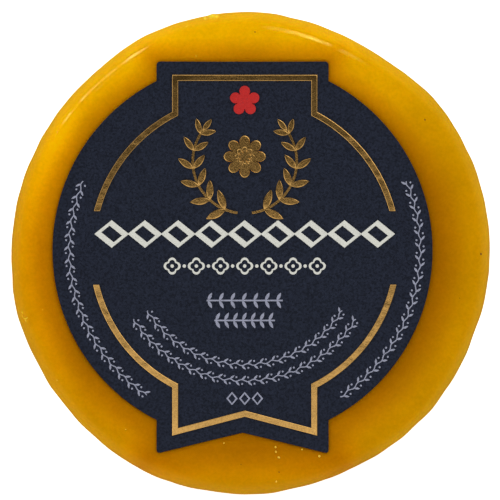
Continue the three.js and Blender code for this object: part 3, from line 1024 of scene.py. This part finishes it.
def make_flower_mesh(flower, rise):
    bm = bmesh.new()
    count = flower["petals"] * POINTS_PER_PETAL
    ring = bmesh.ops.create_circle(bm, segments=count, radius=1.0)["verts"]
    for vert in ring:
        turn = math.atan2(vert.co.x, vert.co.y)
        swell = abs(math.cos(flower["petals"] * turn / 2)) ** 0.6
        radius = flower["radius"] * (flower["waist"] + (1 - flower["waist"]) * swell)
        vert.co = Vector((radius * math.sin(turn), radius * math.cos(turn), PAPER_TOP - SUNK))
    edges = list(bm.edges)
    bmesh.ops.edgeloop_fill(bm, edges=edges)
    size = 1.0
    for share, height in [(1.0, 0.0), *FLOWER_RINGS]:
        made = bmesh.ops.extrude_edge_only(bm, edges=edges)["geom"]
        edges = [item for item in made if isinstance(item, bmesh.types.BMEdge)]
        verts = [item for item in made if isinstance(item, bmesh.types.BMVert)]
        bmesh.ops.scale(bm, vec=(share / size, share / size, 1), verts=verts)
        for vert in verts:
            vert.co.z = PRINT_TOP + rise * height
        size = share
    bmesh.ops.edgeloop_fill(bm, edges=edges)
    bmesh.ops.translate(bm, verts=bm.verts, vec=(0, flower["y"], 0))
    move_to_print_centre(bm)
    lay_down(bm)
    return bm


finish_piece(make_flower_mesh(ROSETTE, 1.0), "foil_rosette", FOIL, "gold_foil", "rosette", sharp_deg=FLAT_DEG)


# %% [markdown]
# ## Printed ink
# Ink on uncoated paper is matt, and it doesn't cover quite evenly: the paper's fibres show through
# as small dark pits. One function makes all three inks, which differ in colour, in how well they
# cover and in how uneven they are.

# %% Ink materials
def make_ink(name, colour, cover_loss, change, roughness):
    material, tree = new_material(name)
    mixed = mottled(tree, colour, 0.6, change)
    _, pits = grain(tree, 0.2, 0.16)
    mixed = mix_colour(tree, maths(tree, "MULTIPLY", pits, cover_loss), mixed, screen(70, 72, 78))
    tooth, _ = grain(tree, 0.3)
    shader = add_node(tree, "ShaderNodeBsdfPrincipled", {
        "Base Color": mixed,
        "Roughness": roughness,
        "Normal": bumped(tree, tooth, 0.012),
        "Specular IOR Level": 0.3,
    })
    show(tree, shader)
    return material


CREAM = make_ink("cream_ink", screen(226, 226, 216), 0.3, 0.04, 0.62)
GREY = make_ink("grey_lavender_ink", screen(156, 159, 178), 0.5, 0.12, 0.6)
RED = make_ink("red_ink", screen(196, 38, 36), 0.25, 0.06, 0.6)
finish_piece(make_flower_mesh(RED_FLOWER, 0.7), "red_flower_print", RED, "red_ink", "red_flower")

# %% [markdown]
# ## The title band
# A chain of nine lozenges crosses the label's middle in cream ink. The line is thick on its falling
# strokes and thin on its rising ones, as a broad pen leaves it. In slanted coordinates, in which
# the lozenge is a square, that is just a square hole with unequal margins. Two loops of four
# points, bridged, make one link.

# %% Model the title band
TITLE_Y = 2.6
LINKS = 9
LINK_PITCH = 5.5
LINK_HALF_HEIGHT = 2.3
THICK_STROKE = 0.95
THIN_STROKE = 0.52
LINK_OVERLAP = 0.12


def lozenge_point(half_width, half_height, rising, falling):
    """A point in slanted coordinates, in which the lozenge runs from -1 to 1 both ways."""
    return (half_width * (rising - falling) / 2, half_height * (rising + falling) / 2)


def add_lozenge_link(bm, x, y, half_width, half_height, thick, thin, top, edge_width):
    """A hollow lozenge with strokes of two widths."""
    across = half_width * half_height / math.hypot(half_width, half_height)
    corners = [(1, 1), (1, -1), (-1, -1), (-1, 1)]
    hole = (1 - thick / across, 1 - thin / across)
    loops = []
    for rising_share, falling_share in ((1, 1), hole):
        loops.append([lozenge_point(half_width, half_height, a * rising_share, b * falling_share) for a, b in corners])
    edges = []
    for loop in loops:
        points = [bm.verts.new((x + px, y + py, PAPER_TOP - SUNK)) for px, py in loop]
        edges += [bm.edges.new((points[i - 1], points[i])) for i in range(4)]
    ring = bmesh.ops.bridge_loops(bm, edges=edges)["faces"]
    soften(bm, rim_edges(raise_faces(bm, ring, top)), edge_width)


def make_title_mesh():
    bm = bmesh.new()
    for x in spread(-(LINKS - 1) / 2 * LINK_PITCH, (LINKS - 1) / 2 * LINK_PITCH, LINKS - 1):
        add_lozenge_link(bm, x, TITLE_Y, LINK_PITCH / 2 + LINK_OVERLAP, LINK_HALF_HEIGHT,
                         THICK_STROKE, THIN_STROKE, PRINT_TOP, 0.07)
    move_to_print_centre(bm)
    cut_into_strips(bm, 1.6)
    lay_down(bm)
    return bm


finish_piece(make_title_mesh(), "title_band", CREAM, "cream_ink", "title_chain")

# %% [markdown]
# ## The small ornaments
# Below the title band come ornaments in several sizes, in cream and in grey: a row of four-lobed
# rings, two short sprigs, and curved vines that follow the label's edge. The leaves of one wave of
# a vine are modelled and copied round the arc by a spin that duplicates. The wavy stem is two rows
# of points, bridged.

# %% Helpers for small ornaments
THIN_PRINT_TOP = PAPER_TOP + 0.06


def add_dot(bm, x, y, radius):
    face = add_face(bm, [polar(radius, deg, (x, y)) for deg in spread(0, 315, 7)], PAPER_TOP - SUNK)
    raise_faces(bm, [face], THIN_PRINT_TOP)


def add_ring(bm, x, y, half_width, half_height, line, corners, lobes=0, lobe_share=0.0):
    """A hollow shape: a lozenge with 4 corners, or a flower with many and some lobes."""
    edges = []
    for shrink in (0, line):
        loop = []
        for turn in spread(0, math.tau, corners)[:-1]:
            swell = 1 - lobe_share * (1 - abs(math.cos(lobes * turn / 2)))
            px = (half_width - shrink) * swell * math.cos(turn)
            py = (half_height - shrink) * swell * math.sin(turn)
            loop.append(bm.verts.new((x + px, y + py, PAPER_TOP - SUNK)))
        edges += [bm.edges.new((loop[i - 1], loop[i])) for i in range(corners)]
    raise_faces(bm, bmesh.ops.bridge_loops(bm, edges=edges)["faces"], THIN_PRINT_TOP)


VINE_LINE = 0.19
VINE_WAVE = 0.17


def vine_point(radius, out, angle, waves, start, end):
    """A point of the wavy stem on an arc, a little to one side of its middle."""
    reach = radius + out + VINE_WAVE * math.sin(math.tau * waves * (angle - start) / (end - start))
    return (reach * math.cos(angle), reach * math.sin(angle))


def add_turned(bm, angle, add, *values):
    """Adds a motif at angle 0 and turns it round the print's centre."""
    before = set(bm.verts)
    add(bm, *values)
    fresh = [vert for vert in bm.verts if vert not in before]
    bmesh.ops.rotate(bm, verts=fresh, cent=(0, 0, 0), matrix=Matrix.Rotation(angle, 3, "Z"))


def add_vine_leaf(bm, radius, direction_deg, length):
    add_leaf(bm, (radius, 0), direction_deg, length, 0.34, THIN_PRINT_TOP, 0.0, (6, 2))


def vine_arc(radius, start_deg, end_deg, height, pitch):
    """A wavy stem on an arc. On each side a leaf grows from the crest, and a berry fills the hollow."""
    bm = bmesh.new()
    start, end = math.radians(start_deg), math.radians(end_deg)
    waves = round((end - start) * radius / pitch)
    step = (end - start) / waves
    length = (height / 2 - VINE_WAVE) / math.cos(math.radians(48))
    for share, side in ((0.25, 1), (0.75, -1)):
        lean = 48 if side > 0 else 132
        add_turned(bm, start + step * share, add_vine_leaf, radius + side * VINE_WAVE, lean, length)
        add_turned(bm, start + step * (share + 0.04), add_dot, radius - side * 0.33 * height, 0, 0.17)
    bmesh.ops.spin(bm, geom=bm.verts[:] + bm.edges[:] + bm.faces[:], cent=(0, 0, 0), axis=(0, 0, 1),
                   dvec=(0, 0, 0), angle=step * (waves - 1), space=Matrix.Identity(4),
                   steps=waves - 1, use_duplicate=True)
    angles = spread(start, end, 10 * waves)
    rows = [[vine_point(radius, out, angle, waves, start, end) for angle in angles]
            for out in (VINE_LINE / 2, -VINE_LINE / 2)]
    raise_faces(bm, bridge_rows(bm, *rows, PAPER_TOP - SUNK), THIN_PRINT_TOP - 0.01)
    return bm


def finish_print(bm, name, material, slot):
    move_to_print_centre(bm)
    lay_down(bm)
    return finish_piece(bm, name, material, slot)


# %% The cream row under the title
def make_subtitle_mesh():
    bm = bmesh.new()
    pitch = 4.0
    for i in range(7):
        add_ring(bm, (i - 3) * pitch, -2.7, 1.42, 1.42, 0.4, 32, 4, 0.3)
        add_dot(bm, (i - 3) * pitch, -2.7, 0.3)
    for i in range(6):
        add_dot(bm, (i - 2.5) * pitch, -2.7, 0.3)
    return bm


finish_print(make_subtitle_mesh(), "subtitle_row", CREAM, "cream_ink")


# %% Two short rows of leaves, and a small mark near the notch
def make_leaf_rows_mesh():
    """Two straight sprigs: leaves in pairs along a thin stem."""
    bm = bmesh.new()
    for row_y, half_length in ((-8.4, 6.3), (-11.7, 5.0)):
        stem = [[(x, row_y + out) for x in (-half_length, half_length)] for out in (0.13, -0.13)]
        raise_faces(bm, bridge_rows(bm, *stem, PAPER_TOP - SUNK), THIN_PRINT_TOP - 0.01)
        for x in spread(-half_length + 0.2, half_length - 1.0, 6):
            for lean in (62, -62):
                add_leaf(bm, (x, row_y), lean, 1.48, 0.36, THIN_PRINT_TOP, 0.0, (6, 2))
    return bm


def make_low_mark_mesh():
    bm = bmesh.new()
    for x in (-2.1, 0.0, 2.1):
        add_ring(bm, x, -24.6, 0.95, 1.1, 0.34, 4)
    return bm


finish_print(make_leaf_rows_mesh(), "leaf_rows", GREY, "grey_ink")
finish_print(make_low_mark_mesh(), "low_mark", GREY, "grey_ink")

# %% The curved vines
finish_print(vine_arc(19.0, 212, 328, 1.65, 2.0), "vine_inner", GREY, "grey_ink")
finish_print(vine_arc(21.65, 212, 328, 1.65, 2.0), "vine_middle", GREY, "grey_ink")
finish_print(vine_arc(29.0, 157, 236, 1.7, 2.1), "vine_left", GREY, "grey_ink")
finish_print(vine_arc(29.0, -57, 23, 1.7, 2.1), "vine_right", GREY, "grey_ink")


# %% [markdown]
# ## Crumbs and specks
# A few crumbs of pale wax cling to the rim below the label, where the knife or the label's edge
# rubbed it, and some dark specks are caught in the coat. Crumbs are small spheres, stretched,
# roughened by noise and half sunk in the wax. The random draws have a fixed seed, so the cheese is
# the same on every run.

# %% Place crumbs and specks
CRUMBS = [(224, 443, 0.17), (275.7, 447, 0.2), (275.9, 451.5, 0.21), (278.7, 457, 0.24), (302, 449, 0.15),
          (319.3, 455.7, 0.22), (276.2, 481, 0.18), (126, 429, 0.12), (277, 439.6, 0.12), (57.5, 380, 0.12)]
SPECKS = [(424.5, 120, 0.17), (480.3, 254, 0.19), (459, 298, 0.1), (241, 464, 0.1), (279, 471.6, 0.13),
          (255, 32.5, 0.13)]


def add_crumb(bm, x, y, radius, flatness, sunk, draw):
    made = bmesh.ops.create_icosphere(bm, subdivisions=2, radius=radius)["verts"]
    shift = Vector((draw.uniform(0, 50), draw.uniform(0, 50), 0))
    for vert in made:
        vert.co *= 1 + 0.45 * noise.noise(vert.co / radius * 0.9 + shift)
    bmesh.ops.scale(bm, vec=(1, draw.uniform(0.6, 0.85), flatness), verts=made)
    turn = Matrix.Rotation(draw.uniform(0, math.tau), 3, "Z")
    bmesh.ops.rotate(bm, verts=made, cent=(0, 0, 0), matrix=turn)
    place = (x, y, top_height(x, y) + radius * flatness * (1 - 2 * sunk))
    bmesh.ops.translate(bm, verts=made, vec=place)


def make_bits_mesh(bits, flatness, sunk, seed):
    draw = random.Random(seed)
    bm = bmesh.new()
    for column, row, radius in bits:
        add_crumb(bm, *from_pixel(column, row), radius, flatness, sunk, draw)
    return bm


def make_bit_material(name, colour, roughness):
    material, tree = new_material(name)
    rough, _ = grain(tree, 0.15)
    shader = add_node(tree, "ShaderNodeBsdfPrincipled", {
        "Base Color": mottled(tree, colour, 0.2, 0.12),
        "Roughness": roughness,
        "Normal": bumped(tree, rough, 0.02),
        "Specular IOR Level": 0.3,
    })
    show(tree, shader)
    return material


CRUMB_WAX = make_bit_material("pale_wax_crumb", screen(250, 208, 60), 0.5)
DARK_BIT = make_bit_material("dark_speck", screen(120, 72, 12), 0.6)
finish_piece(make_bits_mesh(CRUMBS, 0.7, 0.25, 4), "wax_crumbs", CRUMB_WAX, "wax")
finish_piece(make_bits_mesh(SPECKS, 0.3, 0.4, 9), "dark_specks", DARK_BIT, "wax")

# %% [markdown]
# ## Light, like a studio tent
# The light is soft and comes from all sides. The foil is a mirror for what is above it, and it is
# dark at the top of the label and bright at the bottom, so the world is a pale tent whose roof is
# half dark. Its walls are brighter towards the lower left and the right, as with two windows. Three
# lamps brighten the far rim. Two more, long and narrow, are only mirrored: they draw the streaks.

# %% The world
TENT_SIDE = 0.42
WINDOWS = [(30, 0.7), (90, 0.3), (232, 1.3)]
ROOF_DARK = 0.047
ROOF_PALE = 0.7
BELOW = 0.03


def make_tent():
    world = bpy.data.worlds.new("tent")
    world.use_nodes = True
    bpy.context.scene.world = world
    tree = world.node_tree
    tree.nodes.clear()
    direction = add_node(tree, "ShaderNodeTexCoord").outputs["Generated"]
    parts = add_node(tree, "ShaderNodeSeparateXYZ", {0: direction})
    side = TENT_SIDE
    for azimuth, strength in WINDOWS:
        in_window = remap(tree, toward(tree, direction, (*polar(1, azimuth), 0.0)), 0.45, 1.0)
        side = maths(tree, "MULTIPLY_ADD", in_window, strength, side)
    roof = remap(tree, parts.outputs[1], -0.03, 0.06, ROOF_DARK, ROOF_PALE)
    is_roof = remap(tree, parts.outputs[2], 0.78, 0.9)
    above = add_node(tree, "ShaderNodeMix", {0: is_roof, 2: side, 3: roof}, data_type="FLOAT").outputs[0]
    is_above = remap(tree, parts.outputs[2], -0.08, 0.0)
    strength = add_node(tree, "ShaderNodeMix", {0: is_above, 2: BELOW, 3: above}, data_type="FLOAT").outputs[0]
    background = add_node(tree, "ShaderNodeBackground", {"Color": (1.0, 1.0, 1.0, 1.0), "Strength": strength})
    add_node(tree, "ShaderNodeOutputWorld", {"Surface": background.outputs[0]})


make_tent()


# %% The lamps
def add_lamp(name, azimuth_deg, zenith_deg, distance, size, radiance, mirrored_colour=None):
    """A lamp that looks at the middle of the top face. It only lights things, or is only mirrored in them."""
    width, height = size
    data = bpy.data.lights.new(name, "AREA")
    data.shape = "ELLIPSE"
    data.size = width
    data.size_y = height
    data.energy = radiance * math.pi * math.pi * width * height / 4
    lamp = bpy.data.objects.new(name, data)
    bpy.context.scene.collection.objects.link(lamp)
    azimuth = math.radians(azimuth_deg)
    zenith = math.radians(zenith_deg)
    direction = Vector((math.sin(zenith) * math.cos(azimuth), math.sin(zenith) * math.sin(azimuth),
                        math.cos(zenith)))
    lamp.location = Vector((0, 0, HEIGHT * MM)) + direction * distance
    lamp.rotation_euler = direction.to_track_quat("Z", "Y").to_euler()
    lamp.visible_camera = False
    lamp.visible_glossy = mirrored_colour is not None
    if mirrored_colour is not None:
        data.color = mirrored_colour
        lamp.visible_diffuse = False
        lamp.light_linking.receiver_collection = only_wax
    return lamp


only_wax = bpy.data.collections.new("only_wax")
only_wax.objects.link(wax_coat)


add_lamp("soft_roof_lamp", 100, 12, 0.7, (0.26, 0.12), 6.0)
add_lamp("rim_lamp_right", 65, 22, 0.7, (0.24, 0.03), 30.0)
add_lamp("rim_lamp_left", 131, 68, 0.7, (0.32, 0.025), 30.0)
add_lamp("streak_lamp_right", 72, 24.5, 0.7, (0.18, 0.08), 28.0, (1.0, 0.98, 0.25))
add_lamp("streak_lamp_left", 132.5, 57.6, 0.7, (0.38, 0.06), 33.0, (1.0, 0.95, 0.4))

# %% [markdown]
# ## The floor
# The object stands on a plain white table that reads as nearly pure white from above. It is only a
# stage and no part of the object. The glossy wax doesn't mirror it, as on a table that is darker
# close to the object, so the outer edge keeps its amber colour.


# %% Make the floor
FLOOR_GLOW = 0.31
FLOOR_EXTRA_WHITE = 0.5


def make_floor():
    bm = bmesh.new()
    bmesh.ops.create_grid(bm, x_segments=1, y_segments=1, size=1.5)
    mesh = bpy.data.meshes.new("floor")
    bm.to_mesh(mesh)
    bm.free()
    floor = bpy.data.objects.new("floor", mesh)
    bpy.context.scene.collection.objects.link(floor)
    material, tree = new_material("white_table")
    seen = add_node(tree, "ShaderNodeLightPath").outputs["Is Camera Ray"]
    shader = add_node(tree, "ShaderNodeBsdfPrincipled", {
        "Base Color": (0.9, 0.9, 0.9, 1.0),
        "Roughness": 0.7,
        "Emission Color": (1.0, 1.0, 1.0, 1.0),
        "Emission Strength": maths(tree, "MULTIPLY_ADD", seen, FLOOR_EXTRA_WHITE, FLOOR_GLOW),
    })
    show(tree, shader)
    mesh.materials.append(material)
    floor.visible_glossy = False


make_floor()
bpy.context.scene.view_settings.view_transform = "Standard"
